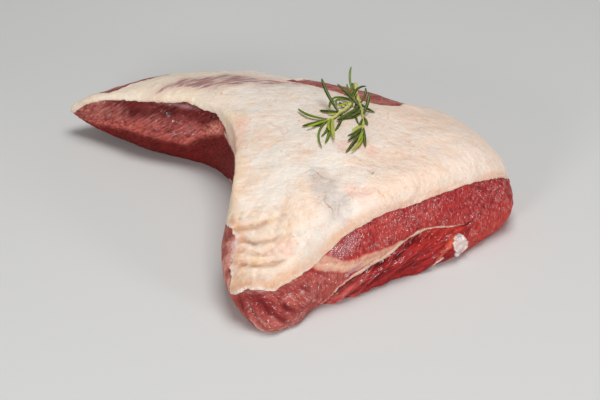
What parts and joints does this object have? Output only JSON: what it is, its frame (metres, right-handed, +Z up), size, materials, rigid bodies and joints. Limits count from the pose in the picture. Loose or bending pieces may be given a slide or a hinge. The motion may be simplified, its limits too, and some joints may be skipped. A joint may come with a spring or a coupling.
{
  "type": "raw beef tri-tip roast",
  "caption": "Whole raw beef tri-tip lying fat side up, a comma-shaped roast with one knife-cut end, a pale fat cap over red lean and a rosemary sprig on top.",
  "frame": {"origin": "middle of the whole piece's box in plan, on the surface that the meat lies on", "axes": "+X from the thin tail to the knife-cut end, +Y from the hollow near side to the round far side, +Z up out of the fat"},
  "size_m": [0.2731, 0.2266, 0.0711],
  "materials": {
    "raw_beef": "moist raw red meat with a wet sheen",
    "beef_fat": "waxy cream fat with a soft sheen",
    "rosemary": "satin green leaf"
  },
  "bodies": {
    "root": {"lean_meat": "raw_beef", "fat_cap": "beef_fat", "rosemary_sprig": "rosemary"}
  },
  "joints": []
}
